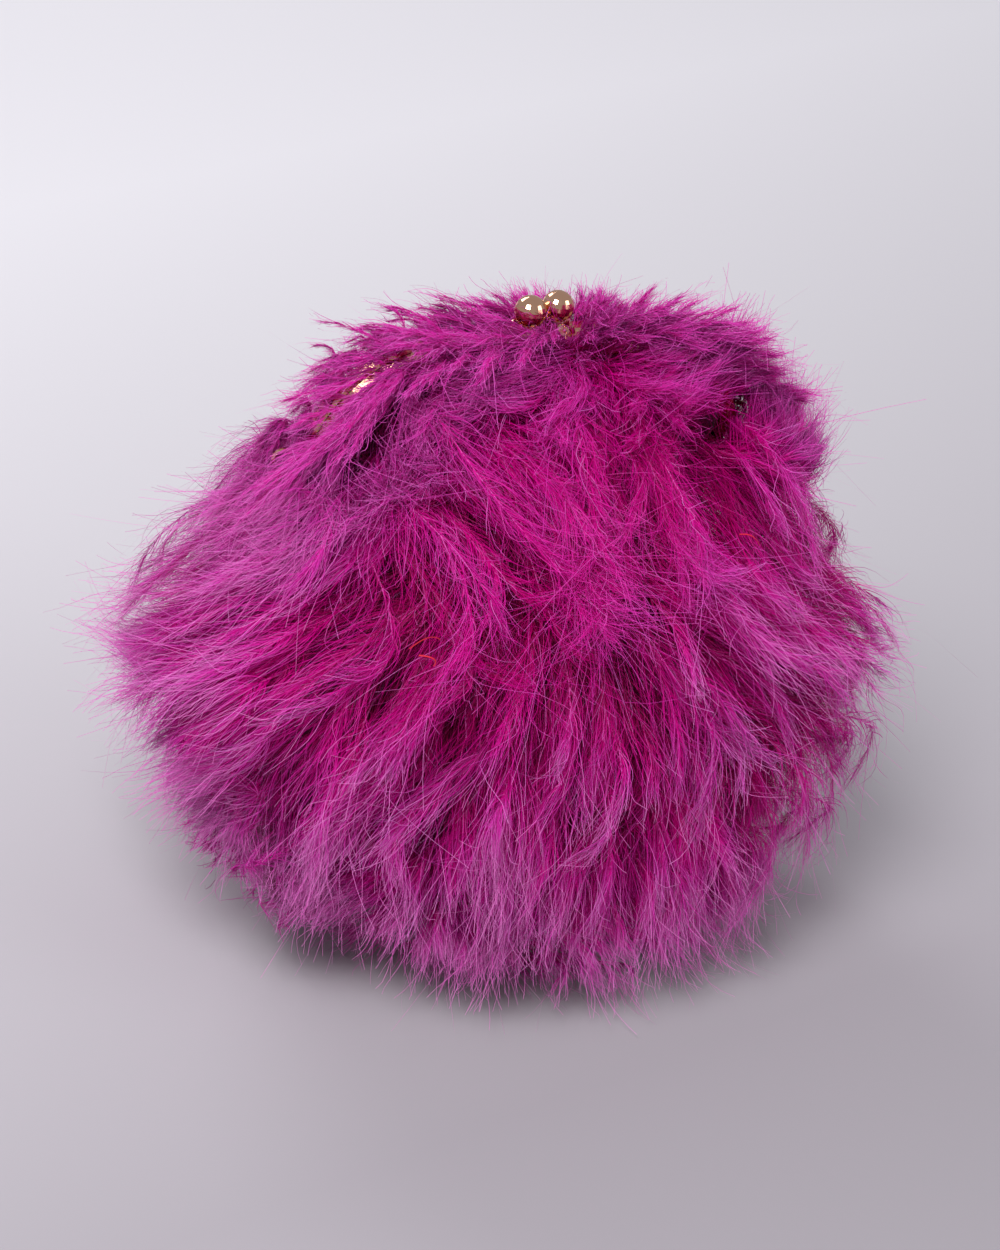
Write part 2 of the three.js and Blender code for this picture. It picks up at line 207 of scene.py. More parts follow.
def paleGold():
    # polished pale gold plate: mirror reflections, with faint handling haze
    material, tree = startMaterial("polished_pale_gold_plate")
    where = addNode(tree, "ShaderNodeTexCoord")
    haze = addNode(tree, "ShaderNodeTexNoise", {"Scale": 420.0, "Detail": 4.0},
                   {"Vector": where.outputs["Object"]})
    rough = addNode(tree, "ShaderNodeMapRange", {"To Min": 0.05, "To Max": 0.12},
                    {"Value": haze.outputs["Fac"]})
    metal = addNode(tree, "ShaderNodeBsdfPrincipled",
                    {"Base Color": linearColour("#f2bf9e"), "Metallic": 1.0},
                    {"Roughness": rough.outputs["Result"]})
    return finishMaterial(material, tree, metal)


def wovenCloth(name, colours, threads, roughness, sheen):
    # a weave of so many threads per metre, darker between them; a wave of scale 1 has 20 / 2 pi bands
    material, tree = startMaterial(name)
    where = addNode(tree, "ShaderNodeTexCoord")
    runs = []
    for direction in ("X", "Z"):
        bands = {"Scale": threads / 20, "Distortion": 0.4, "bands_direction": direction}
        runs.append(addNode(tree, "ShaderNodeTexWave", bands, {"Vector": where.outputs["Object"]}))
    weave = addNode(tree, "ShaderNodeMath", {"operation": "MULTIPLY"},
                    {0: runs[0].outputs["Fac"], 1: runs[1].outputs["Fac"]})
    shade = addNode(tree, "ShaderNodeValToRGB", links={"Fac": weave.outputs[0]})
    setRamp(shade, [(0.0, colours[0]), (1.0, colours[1])])
    relief = addNode(tree, "ShaderNodeBump", {"Strength": 0.25, "Distance": 0.1 * mm},
                     {"Height": weave.outputs[0]})
    cloth = addNode(tree, "ShaderNodeBsdfPrincipled",
                    {"Roughness": roughness, "Sheen Weight": sheen, "Sheen Roughness": 0.3},
                    {"Base Color": shade.outputs["Color"], "Normal": relief.outputs["Normal"]})
    return finishMaterial(material, tree, cloth)


def feltedPad():
    # needled felt: a matte, slightly mottled white
    material, tree = startMaterial("needled_felt_interlining")
    where = addNode(tree, "ShaderNodeTexCoord")
    fibres = addNode(tree, "ShaderNodeTexNoise", {"Scale": 900.0, "Detail": 5.0},
                     {"Vector": where.outputs["Object"]})
    shade = addNode(tree, "ShaderNodeValToRGB", links={"Fac": fibres.outputs["Fac"]})
    setRamp(shade, [(0.3, "#c9c4bd"), (0.7, "#e9e5df")])
    felt = addNode(tree, "ShaderNodeBsdfPrincipled", {"Roughness": 0.9},
                   {"Base Color": shade.outputs["Color"]})
    return finishMaterial(material, tree, felt)


def twistedPaper():
    # brown paper cord: fine oblique ridges where the paper is twisted
    material, tree = startMaterial("twisted_paper_cord")
    where = addNode(tree, "ShaderNodeTexCoord")
    ridges = {"Scale": 60.0, "bands_direction": "DIAGONAL", "Distortion": 1.0}
    twist = addNode(tree, "ShaderNodeTexWave", ridges, {"Vector": where.outputs["Object"]})
    shade = addNode(tree, "ShaderNodeValToRGB", links={"Fac": twist.outputs["Fac"]})
    setRamp(shade, [(0.0, "#8f7350"), (1.0, "#c4a67a")])
    paper = addNode(tree, "ShaderNodeBsdfPrincipled", {"Roughness": 0.8},
                    {"Base Color": shade.outputs["Color"]})
    return finishMaterial(material, tree, paper)


materials = {
    "marabou": marabouDown(),
    "gold": paleGold(),
    # closely woven cotton base, dyed to match the feathers
    "shell": wovenCloth("dyed_cotton_base", ("#64093f", "#8c1468"), 2400, 0.85, 0.2),
    # satin lining, a soft broad shine
    "satin": wovenCloth("satin_lining", ("#a01c78", "#b52a8c"), 6000, 0.32, 0.3),
    "felt": feltedPad(),
    "paper": twistedPaper(),
}
print("materials made")

# the rounded shape that the feathers fill; pairs are for its left and right, or above and below the belly
puff = {
    "roundness": (1.75, 2.15),
    "belly": 100 * mm,
    "baseShare": 63 / 129,
    "sideways": 9 * mm,
    "sag": 13 * mm,
    "brushedAcross": (1.0, -0.4, 0),
    "crown": {"from": 120 * mm, "over": 90 * mm, "narrowing": (0.04, 0.1)},
    "foot": {"from": 92 * mm, "over": 70 * mm, "narrowing": (0.3, 0.04)},
    "rearNarrowing": 0.42,
}
# where the feathers part, and how much they hang, stray and hug the shape
flow = {
    "right": 20 * mm,
    "height": 180 * mm,
    "depthShare": 0.35,
    "gravity": 0.26,
    "unruliness": 0.34,
    "hug": 0.8,
    "footHug": 0.45,
    "footTop": 90 * mm,
    "footOver": 60 * mm,
}
# ruffled patches: middle and radius in mm
tangles = [((-19, -74, 148), 30), ((17, -56, 184), 34), ((-56, -69, 132), 22)]

lowerRows = sorted(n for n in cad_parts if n.startswith("marabou_row_"))
upperRows = sorted(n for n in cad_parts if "_marabou_row_" in n and n not in lowerRows)
rowBoxes = {n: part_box(n) for n in lowerRows + upperRows}
halfWidth = max(b[1].x for b in rowBoxes.values())
halfDepth = max(b[1].y for b in rowBoxes.values())
puffTop = max(b[1].z for b in rowBoxes.values())
footRoundness = puff["roundness"][1]
puffBottom = puff["belly"] / (1 - puff["baseShare"] ** footRoundness) ** (1 / footRoundness)
shares = np.random.default_rng(20)


def middleAt(z):
    # the feathers hang a little to one side, more so near the floor
    below = np.clip((puff["belly"] - z) / puff["belly"], 0, 1) ** 1.3
    return (puff["sideways"] + puff["sag"] * below)[..., None] * np.array(puff["brushedAcross"])


def evened(p):
    # undoes the hang and the narrower crown and foot, so that one rounded shape describes the feathers
    q = p - middleAt(p[..., 2])
    isLeft = q[..., 0] < 0
    high = np.clip((q[..., 2] - puff["crown"]["from"]) / puff["crown"]["over"], 0, 1)
    low = np.clip((puff["foot"]["from"] - q[..., 2]) / puff["foot"]["over"], 0, 1)
    narrowing = high * np.where(isLeft, *puff["crown"]["narrowing"])
    narrowing += low * np.where(isLeft, *puff["foot"]["narrowing"])
    q[..., 0] = q[..., 0] / (1 - narrowing)
    q[..., 1] = q[..., 1] / (1 - np.where(q[..., 1] > 0, puff["rearNarrowing"], 0) * high)
    return q


def levelOf(p):
    # 1 on the outside of the feathers, less within
    q = evened(p)
    n = np.where(q[..., 2] > puff["belly"], *puff["roundness"])
    flat = ((q[..., 0] / halfWidth) ** 2 + (q[..., 1] / halfDepth) ** 2) ** (n / 2)
    rise = q[..., 2] - puff["belly"]
    reach = np.where(rise > 0, puffTop - puff["belly"], puffBottom)
    return (flat + np.abs(rise / reach) ** n) ** (1 / n)


def outwardOf(p):
    step = 1 * mm
    slopes = [levelOf(p + d) - levelOf(p - d) for d in np.eye(3) * step]
    return unit(np.stack(slopes, -1) + 1e-9)


def toLevel(p, level):
    for step in range(2):
        centre = middleAt(p[..., 2]) + np.array([0, 0, puff["belly"]])
        p = centre + (p - centre) * (level / np.maximum(levelOf(p), 1e-6))[..., None]
    return p


# a smooth field of unruliness, from a few long waves
waveCount = 10
waveDamping = 3.2
waves = shares.normal(size=(waveCount, 3)) * 34
phases = shares.uniform(0, 2 * np.pi, waveCount)
pushes = shares.normal(size=(waveCount, 3))


def unruly(p, scale=1.0):
    turn = np.sin(p @ (waves.T * scale) + phases)
    return turn @ pushes / waveDamping


def flowAt(p, lift):
    # feathers lie away from the crown, and hang only a little
    root = np.stack([np.full(p.shape[:-1], flow["right"]), p[..., 1] * flow["depthShare"],
                     np.full(p.shape[:-1], flow["height"])], -1)
    away = unit(p - root)
    away[..., 2] += lift - flow["gravity"]
    away = away + unruly(p) * flow["unruliness"]
    out = outwardOf(p)
    low = np.clip((flow["footTop"] - p[..., 2:]) / flow["footOver"], 0, 1)
    hug = flow["hug"] - flow["footHug"] * low
    return unit(away - (away * out).sum(-1, keepdims=True) * out * hug)


def tangleAt(p):
    # 1 where the feathers are ruffled, 0 where they lie smoothly
    near = [np.exp(-(np.linalg.norm(p - np.array(c) * mm, axis=-1) / (r * mm)) ** 2) for c, r in tangles]
    return np.clip(sum(near), 0, 1)


frameSurface = surfaceOf(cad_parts["front_frame"].data)


def rimPoint(x):
    # the top of the front half of the frame over x
    low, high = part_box("front_frame")
    hit = frameSurface.ray_cast(Vector((x, (low.y + high.y) / 2, 0.4)), Vector((0, 0, -1)))
    return np.array(hit[0])


rimX = np.linspace(-72, 72, 37) * mm
rimZ = np.array([rimPoint(x)[2] for x in rimX])
rimSlope = np.gradient(rimZ, rimX)

# what the feathers leave clear, as a tunnel towards the viewer: its radius, length and start, in mm
clearings = [
    {"node": "front_clasp_ball", "radius": 5.5, "long": 30, "start": 3},
    {"node": "rear_clasp_ball", "radius": 5.5, "long": 30, "start": 3},
    {"node": "front_clasp_stem", "radius": 3.5, "long": 30},
    {"node": "right_chain_eye", "radius": 4.2, "long": 60},
    {"node": "right_hinge_rivet", "above": 3, "radius": 5, "long": 60, "start": 2},
]
rimClearing = {"from": -72, "to": -42, "every": 3, "radius": 1.3, "long": 24}
clearingKeeps = 0.06  # share of the barbs that cross all the same
clearingDepth = 1 * mm  # how far behind its start a tunnel reaches


def sight(middle, c):
    towards = (viewer - middle) / np.linalg.norm(viewer - middle)
    return middle + towards * c.get("start", 0) * mm, middle + towards * c["long"] * mm, c["radius"] * mm


def middleOf(node):
    low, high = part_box(node)
    return np.array((low + high) / 2)


hollows = [sight(middleOf(c["node"]) + np.array([0, 0, c.get("above", 0) * mm]), c) for c in clearings]
rimPlaces = range(rimClearing["from"], rimClearing["to"], rimClearing["every"])
hollows += [sight(rimPoint(x * mm), rimClearing) for x in rimPlaces]

# the pouch that the rows are sewn to
pouchSurface = [surfaceOf(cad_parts[n].data) for n in ("front_shell_panel", "rear_shell_panel")]
lowerRow = {"plumeEvery": 2.7 * mm, "radius": 62 * mm, "stray": 0.4, "heightShare": 0.45, "lowest": 8 * mm,
            "insideShare": 0.3}
# the top of the pouch runs round inside the frame
arch = {"halfSpan": 66 * mm, "low": 163 * mm, "rise": 41 * mm, "squareness": 3.2, "nearY": 7.2 * mm}
upperRow = {"plumes": 120, "wider": 1.12}
collar = {"under": (2 * mm, 9 * mm), "bulge": (12 * mm, 40 * mm), "above": 14 * mm}
neck = {"underShare": (0.15, 0.9), "bulge": (40 * mm, 80 * mm), "above": -4 * mm}


def pouchHit(origin, direction):
    found = [tree.ray_cast(Vector(origin), Vector(direction)) for tree in pouchSurface]
    hits = [f for f in found if f[0] is not None]
    return min(hits, key=lambda f: f[3])[0] if hits else None


def lowerRoots(row):
    # evenly along a ring round the pouch: where each plume is sewn, and where it comes to the outside
    low, high = rowBoxes[row]
    middle = (low.z + high.z) / 2
    spread = (high.z - low.z) * lowerRow["heightShare"]
    count = int(2 * math.pi * lowerRow["radius"] / lowerRow["plumeEvery"])
    roots, skins = [], []
    for k in range(count):
        turn = 2 * math.pi * (k + shares.uniform(-lowerRow["stray"], lowerRow["stray"])) / count
        z = max(middle + shares.uniform(-spread, spread), lowerRow["lowest"])
        ray = Vector((math.cos(turn) * halfWidth, math.sin(turn) * halfDepth, 0))
        hit = pouchHit(ray * 1.5 + Vector((0, 0, z)), -ray.normalized())
        roots.append(hit or ray * lowerRow["insideShare"] + Vector((0, 0, z)))
        skins.append(ray + Vector((0, 0, z)))
    return np.array(roots), np.array(skins)


def upperRoots(row, side):
    # along the top of the pouch, inside the frame
    isCollar = row.endswith("8")
    kind = collar if isCollar else neck
    across = shares.uniform(-1, 1, upperRow["plumes"])
    count = len(across)
    x = across * arch["halfSpan"]
    edge = arch["low"] + arch["rise"] * (1 - np.abs(across) ** arch["squareness"])
    if isCollar:
        under = shares.uniform(*kind["under"], count)
    else:
        under = (edge - rowBoxes[row][0].z) * shares.uniform(*kind["underShare"], count)
    roots = np.stack([x, np.full(count, side * arch["nearY"]), edge - under], -1)
    bulge = shares.uniform(*kind["bulge"], count)
    skins = np.stack([x * upperRow["wider"], side * bulge, edge + kind["above"]], -1)
    return roots, skins


def bezier(a, b, c, d, t):
    s = 1 - t
    return s ** 3 * a + 3 * s * s * t * b + 3 * s * t * t * c + t ** 3 * d


lengths = {
    "lower": (66 * mm, 104 * mm),
    "neck": (48 * mm, 76 * mm),
    "collar": (30 * mm, 52 * mm),
    "foot": {"front": [(22 * mm, 38 * mm), (42 * mm, 64 * mm)],
             "rear": [(44 * mm, 64 * mm), (58 * mm, 84 * mm)]},
}
# shares of a plume's length, unless a unit is given
plume = {
    "travel": (0.2, 0.65),
    "travelSteps": 4,
    "outermost": 1.04,
    "depth": 0.26,
    "ruffledDepth": 0.14,
    "depthBias": 1.4,
    "stray": 0.3,
    "ruffledStray": 0.4,
    "tipLift": 0.2,
    "leave": (0.25, 0.5),
    "land": 0.35,
    "wander": (6 * mm, 4 * mm),
    "wanderScale": 2.5,
}


def growPlumes(roots, skins, lift, lengthRange, rise):
    # every plume leaves the pouch, swings over and lies along the flow
    count = len(roots)
    length = shares.uniform(*lengthRange, count)
    where = toLevel(skins, 1.0)
    travel = length * shares.uniform(*plume["travel"], count)
    steps = plume["travelSteps"]
    for step in range(steps):
        where = toLevel(where + flowAt(where, lift) * (travel / steps)[:, None], 1.0)
    ruffle = tangleAt(where)
    depth = (plume["depth"] + plume["ruffledDepth"] * ruffle) * shares.random(count) ** plume["depthBias"]
    tip = toLevel(where, plume["outermost"] - depth)
    out = outwardOf(toLevel(skins, 1.0))
    stray = (plume["stray"] + plume["ruffledStray"] * ruffle)[:, None]
    final = flowAt(tip, lift) + shares.normal(size=tip.shape) * stray + outwardOf(tip) * plume["tipLift"]
    final = unit(final)
    leave = unit(out + np.array([0, 0, rise]))
    wander = [unruly(p, plume["wanderScale"]) * w for p, w in zip((roots, tip), plume["wander"])]
    first = roots + leave * (length * shares.uniform(*plume["leave"], count))[:, None] + wander[0]
    second = tip - final * (length * plume["land"])[:, None] + wander[1]
    return {"root": roots, "first": first, "second": second, "tip": tip, "final": final, "length": length,
            "ruffle": ruffle}


rimPlume = {
    "count": 190,
    "halfSpan": 78 * mm,
    "behindFrame": 3 * mm,
    "under": {-1: (3 * mm, 10 * mm), 1: (6 * mm, 13 * mm)},
    "above": {-1: (1.5 * mm, 6 * mm), 1: (0, 2.5 * mm)},
    "uprightAbove": 3 * mm,
    "length": (12 * mm, 20 * mm),
    "lengthShare": {-1: 1, 1: 0.45},
    "combedLonger": 0.6,
    "combedFrom": 14 * mm,
    "combedOver": 24 * mm,
    "steepest": 1.6,
    "alongSlope": 1.1,
    "outwards": (0.1, 0.6),
    "over": (-1.0, 0.75),
    "stray": 0.16,
    "ruffle": 0.2,
}


def rimPlumes(side):
    # short plumes that hide the frame: combed over the rim on the left, and upright on the right
    r = rimPlume
    x = shares.uniform(-1, 1, r["count"]) * r["halfSpan"]
    count = len(x)
    rim = np.interp(x, rimX, rimZ)
    zero = np.zeros(count)
    depth = side * (arch["nearY"] + shares.uniform(0, r["behindFrame"], count))
    under = shares.uniform(*r["under"][side], count)
    roots = np.stack([x, depth, rim - under], -1)
    combed = np.clip((r["combedFrom"] - x) / r["combedOver"], 0, 1)
    length = shares.uniform(*r["length"], count) * (1 + r["combedLonger"] * combed) * r["lengthShare"][side]
    slope = np.clip(np.interp(x, rimX, rimSlope), -r["steepest"], r["steepest"])
    outwards = side * shares.uniform(*r["outwards"], count)
    over = -side * shares.uniform(*r["over"], count)
    flat = np.stack([zero - 1, over, -r["alongSlope"] * slope], -1)
    upright = np.stack([x / (60 * mm), outwards, zero + 0.7], -1)
    heading = unit(unit(flat) * combed[:, None] + unit(upright) * (1 - combed)[:, None])
    heading = unit(heading + shares.normal(size=heading.shape) * r["stray"])
    above = combed * (under + shares.uniform(*r["above"][side], count)) + (1 - combed) * r["uprightAbove"]
    tip = roots + heading * length[:, None] + np.stack([zero, zero, above], -1)
    final = unit(heading + np.stack([x / (140 * mm), outwards * (1 - combed), zero - 0.3], -1))
    leave = np.stack([-0.3 * combed, outwards * 0.4, zero + 1], -1)
    first = roots + leave * (under + 4 * mm)[:, None]
    second = tip - final * (length * plume["land"])[:, None]
    return {"root": roots, "first": first, "second": second, "tip": tip, "final": final, "length": length,
            "ruffle": zero + r["ruffle"]}


# where the plumes beside the hinge are sewn, and where they come to the outside, in mm
cheek = {
    "count": 120,
    "onLeft": 44,
    "rootX": (62, 76),
    "rootY": (6, 22),
    "rootZ": (150, 10),
    "skinX": (84, 108),
    "skinY": (6, 34),
    "skinZ": {-1: (172, 24), 1: (178, 24)},
    "lift": 0.5,
    "rise": 0.8,
}


def cheekPlumes(side):
    count = cheek["count"]
    end = np.where(np.arange(count) < cheek["onLeft"], -1, 1)
    up = shares.uniform(0, 1, count)

    def spread(kind, height):
        x = end * shares.uniform(*cheek[kind + "X"], count)
        y = side * shares.uniform(*cheek[kind + "Y"], count)
        return np.stack([x, y, height[0] + height[1] * up], -1) * mm

    roots = spread("root", cheek["rootZ"])
    skins = spread("skin", cheek["skinZ"][side])
    return growPlumes(roots, skins, cheek["lift"], lengths["neck"], cheek["rise"])


def together(*groups):
    return {k: np.concatenate([g[k] for g in groups]) for k in groups[0]}


# "beyond" is the level that a strand may reach, and a tone of 0 to 1 runs from dark to pale
quill = {"width": (0.55 * mm, 0.2 * mm), "segments": 9, "tone": (0.88, 0.93), "beyond": 1.0}
barbs = [
    {   # down, which fills the plume
        "perPlume": 120,
        "start": 0.05,
        "length": (13 * mm, 40 * mm),
        "width": (0.27 * mm, 0.08 * mm),
        "segments": 7,
        "beyond": 1.03,
        "lift": 0.0,
        "scatter": 0.07,
        "curl": 0.03,
        "hook": 0.05,
        "tone": (0.0, 0.8),
    },
    # the pale tone of these barbs is a painted highlight on strays that catch the light
    {   # loose pale barbs
        "perPlume": 9,
        "start": 0.4,
        "length": (18 * mm, 34 * mm),
        "width": (0.26 * mm, 0.11 * mm),
        "segments": 9,
        "beyond": 1.05,
        "lift": 0.1,
        "scatter": 0.15,
        "curl": 0.09,
        "hook": 0.14,
        "tone": (0.8, 1.0),
    },
    {   # long wisps that stand clear of the rest
        "perPlume": 12,
        "start": 0.65,
        "length": (30 * mm, 48 * mm),
        "width": (0.2 * mm, 0.1 * mm),
        "segments": 10,
        "beyond": 1.15,
        "lift": 0.4,
        "scatter": 0.12,
        "curl": 0.05,
        "hook": 0.16,
        "tone": (0.6, 0.9),
    },
]
barbShape = {
    "towardsTip": 0.85,
    "splay": (20, 68),
    "splayAtRoot": 1.1,
    "splayLessAtTip": 0.6,
    "lengthSpread": (0.45, 1.25),
    "gatherTowards": 0.25,
    "gather": 0.5,
    "middle": 0.48,
    "ruffledScatter": 0.2,
    "ruffledCurl": 1.5,
    "curlTurns": (3, 9),
    "ownTone": 0.4,
}


def quillStrands(plumes):
    steps = np.linspace(0, 1, quill["segments"] + 1)[None, :, None]
    line = bezier(*(plumes[k][:, None] for k in ("root", "first", "second", "tip")), steps)
    return {**quill, "line": line, "tone": shares.uniform(*quill["tone"], len(line))}


def barbStrands(plumes, barb):
    # barbs fan out of the quill on all sides and gather again towards its tip
    b = barbShape
    count, perPlume = len(plumes["root"]), barb["perPlume"]
    share = (np.arange(perPlume) + shares.uniform(0, 1, (count, perPlume))) / perPlume
    share = barb["start"] + (1 - barb["start"]) * share ** b["towardsTip"]
    t = share[..., None]
    four = [plumes[k][:, None] for k in ("root", "first", "second", "tip")]
    base = bezier(*four, t)
    along = unit(bezier(*four, np.minimum(t + 0.02, 1.02)) - bezier(*four, t - 0.02))
    across = unit(np.cross(along, outwardOf(base)) + shares.normal(size=base.shape) * 0.05)
    lifted = np.cross(across, along)
    turn = shares.normal(0, 0.8, share.shape) + np.where(shares.random(share.shape) < 0.5, 0, np.pi)
    splay = shares.uniform(*b["splay"], share.shape) * (b["splayAtRoot"] - b["splayLessAtTip"] * share)
    splay = np.radians(splay)
    fan = across * np.cos(turn)[..., None] + lifted * np.sin(turn)[..., None]
    start = unit(along * np.cos(splay)[..., None] + fan * np.sin(splay)[..., None])
    short, long = barb["length"]
    size = (plumes["length"][:, None] / lengths["lower"][1]) ** 0.6
    length = short + (long - short) * (1 - share) ** 0.6
    length = length * shares.uniform(*b["lengthSpread"], share.shape) * size
    length = length[..., None]
    ownFinal = plumes["final"][:, None]
    gathered = plumes["tip"][:, None] + ownFinal * length * b["gatherTowards"]
    heading = unit(along * 0.4 + ownFinal * 0.6 + start * 0.55 + outwardOf(base) * barb["lift"])
    loose = base + heading * length
    gap = np.linalg.norm(gathered - base, axis=-1, keepdims=True) + 1e-6
    pull = np.clip(length / gap, 0, 1) * b["gather"]
    end = loose + (base + unit(gathered - base) * length - loose) * pull
    scatter = barb["scatter"] * (1 + b["ruffledScatter"] * plumes["ruffle"])[:, None, None]
    end = end + shares.normal(size=end.shape) * length * scatter
    middle = base + start * length * b["middle"]
    base, middle, end, length = (v.reshape(-1, 1, v.shape[-1]) for v in (base, middle, end, length))
    steps = np.linspace(0, 1, barb["segments"] + 1)[:, None]
    line = base * (1 - steps) ** 2 + middle * 2 * steps * (1 - steps) + end * steps ** 2
    wild = 1 + b["ruffledCurl"] * np.repeat(plumes["ruffle"], perPlume)[:, None, None]
    curl = shares.normal(size=(len(base), 1, 3)) * barb["curl"] * wild
    turns = shares.uniform(*b["curlTurns"], (len(base), 1, 1))
    line = line + curl * length * np.sin(steps * turns) * steps
    hook = shares.normal(size=(len(base), 1, 3)) * shares.exponential(barb["hook"], (len(base), 1, 1))
    line = line + hook * wild * length * steps ** 3
    low, high = barb["tone"]
    mixed = shares.uniform(0, 1, (count, perPlume)) * b["ownTone"]
    mixed = mixed + shares.uniform(0, 1 - b["ownTone"], (count, 1))
    return {**barb, "line": line, "tone": (low + (high - low) * mixed).ravel()}


def nearestOn(p, a, b):
    along = np.clip(((p - a) @ (b - a)) / max((b - a) @ (b - a), 1e-9), 0, 1)
    return a + along[..., None] * (b - a)


def thinned(group):
    # barbs end short of the clasp balls, the right end of the hinge and the rim's left shoulder
    line = group["line"]
    count, places = line.shape[:2]
    first = np.full(count, places)
    for a, b, radius in hollows:
        inside = np.linalg.norm(line - nearestOn(line, a, b), axis=-1) < radius
        inside &= (line - a) @ (b - a) > -clearingDepth * np.linalg.norm(b - a)
        first = np.minimum(first, np.where(inside.any(1), inside.argmax(1), places))
    first = np.where(shares.random(count) < clearingKeeps, places, first)
    kept = first > 1
    line, first = line[kept], first[kept]
    at = np.linspace(0, 1, places)[None] * np.minimum(first, places - 1)[:, None] * 0.98
    below = np.clip(at.astype(int), 0, places - 2)
    part = (at - below)[..., None]
    rows = np.arange(len(line))[:, None]
    line = line[rows, below] * (1 - part) + line[rows, below + 1] * part
    return {**group, "line": line, "tone": group["tone"][kept]}


# the box that no strand leaves, how far some reach past their level, and how they meet the floor
reach = {
    "box": ((-145 * mm, 145 * mm), (-93 * mm, 93 * mm), (-30 * mm, 240 * mm)),
    "ragged": (0.93, 0.94),
    "past": 0.07,
    "shortest": 0.4,
    "press": 9 * mm,
    "aboveFloor": 0.4 * mm,
    "spread": 0.7,
}


def keepInReach(line, beyond):
    # a barb that would reach too far is shorter, and one that meets the floor spreads along it
    start = line[:, :1]
    away = line - start
    inner, outer = levelOf(start[:, 0]), levelOf(line[:, -1])
    allowed = beyond + shares.exponential(reach["past"], len(line))
    fits = np.clip((allowed - inner) / np.maximum(outer - inner, 1e-6), reach["shortest"], 1)
    fits = np.where(outer > allowed, fits, 1)
    for axis, (low, high) in enumerate(reach["box"]):
        ends = shares.uniform(reach["ragged"][0], 1, (len(line), 1))
        room = np.where(away[..., axis] > 0, high, low) * ends - start[..., axis]
        far = away[..., axis] / np.where(np.abs(room) < 1e-5, 1e-5, room)
        fits = np.minimum(fits, 1 / np.maximum(far.max(1), 1))
    line = start + away * fits[:, None, None]
    for axis, (low, high) in enumerate(reach["box"]):
        ends = shares.uniform(reach["ragged"][1], 1, (len(line), 1))
        line[..., axis] = np.clip(line[..., axis], low * ends, high * ends)
    soft, gap = reach["press"], reach["aboveFloor"]
    under = np.maximum(soft - line[..., 2], 0)
    outwards = unit(line[..., :2] - middleAt(line[..., 2])[..., :2])
    line[..., :2] += outwards * under[..., None] * reach["spread"]
    line[..., 2] = np.where(under > 0, gap + (soft - gap) * np.exp(-under / soft), line[..., 2])
    return line


# painted light and shade on the barbs: paler along a strand towards its tip and towards the outside of the
# feathers, darker deep within them, and darker again on ruffled and high plumes
paintedShading = {
    "uvWidth": 0.003,
    "along": 0.3,
    "outwards": 0.72,
    "bias": 2.2,
    "from": 0.5,
    "over": 0.52,
    "ruffled": 0.22,
    "high": 0.12,
    "highFrom": 130 * mm,
    "highOver": 60 * mm,
}


def ribbons(name, groups, material):
    # every strand is a fine flat ribbon that faces roughly outwards
    points, quads, maps, offset = [], [], [], 0
    for group in groups:
        group = thinned({**group, "line": keepInReach(group["line"], group["beyond"])})
        line = group["line"]
        count, places = line.shape[:2]
        along = unit(np.gradient(line, axis=1))
        out = outwardOf(line) + shares.normal(size=(count, 1, 3)) * 0.4
        across = unit(np.cross(along, out))
        steps = np.linspace(0, 1, places)
        thick, thin = group["width"]
        width = (thick + (thin - thick) * steps)[None, :, None] / 2
        points.append(np.stack([line - across * width, line + across * width], 2).reshape(-1, 3))
        first = offset + np.arange(count)[:, None] * places * 2 + np.arange(places - 1)[None] * 2
        quads.append(np.stack([first, first + 1, first + 3, first + 2], -1).reshape(-1, 4))
        # painted shade and light: a strand is darker where it lies deep within the feathers and paler
        # towards the outside and its tip
        deep = np.clip((levelOf(line) - paintedShading["from"]) / paintedShading["over"], 0, 1)
        high = np.clip((line[:, -1, 2] - paintedShading["highFrom"]) / paintedShading["highOver"], 0, 1)
        lessPaintedLight = 1 - paintedShading["ruffled"] * tangleAt(line[:, -1]) - paintedShading["high"] * high
        shade = paintedShading["along"] * steps[None] + paintedShading["outwards"] * deep ** paintedShading["bias"]
        shade = shade * lessPaintedLight[:, None]
        tone = np.broadcast_to(group["tone"][:, None], shade.shape)
        sides = [np.stack([tone + d, shade], -1) for d in (0, paintedShading["uvWidth"])]
        maps.append(np.stack(sides, 2).reshape(-1, 2))
        offset += count * places * 2
    return meshPiece(name, np.concatenate(points), np.concatenate(quads), material, np.concatenate(maps))


def addPlumes(name, node, body, plumes):
    strands = [quillStrands(plumes)] + [barbStrands(plumes, barb) for barb in barbs]
    piece = ribbons(name, strands, materials["marabou"])
    standIn(piece, body, node)


# how much the feathers of some rows lift, and how they rise from the pouch
rowLift = {lowerRows[0]: 0.2, lowerRows[-1]: 0.25}
collarGrowth = {"lift": {-1: 0.3, 1: 0.0}, "rise": 1.0}
neckGrowth = {"lift": 0.3, "rise": 0.6}


def makeLowerRow(row):
    roots, skins = lowerRoots(row)
    isTopmost = row == lowerRows[-1]
    place = lowerRows.index(row)
    for label, side in (("front", -1), ("rear", 1)):
        chosen = skins[:, 1] * side > 0
        footLengths = lengths["foot"][label]
        lengthRange = footLengths[place] if place < len(footLengths) else lengths["lower"]
        plumes = growPlumes(roots[chosen], skins[chosen], rowLift.get(row, 0.0), lengthRange, 0)
        if isTopmost:
            plumes = together(plumes, cheekPlumes(side))
        body = "opening" if isTopmost and side < 0 else "bag"
        addPlumes(f"{row}_{label}_plumes", row, body, plumes)
    print("feathered", row, len(roots))


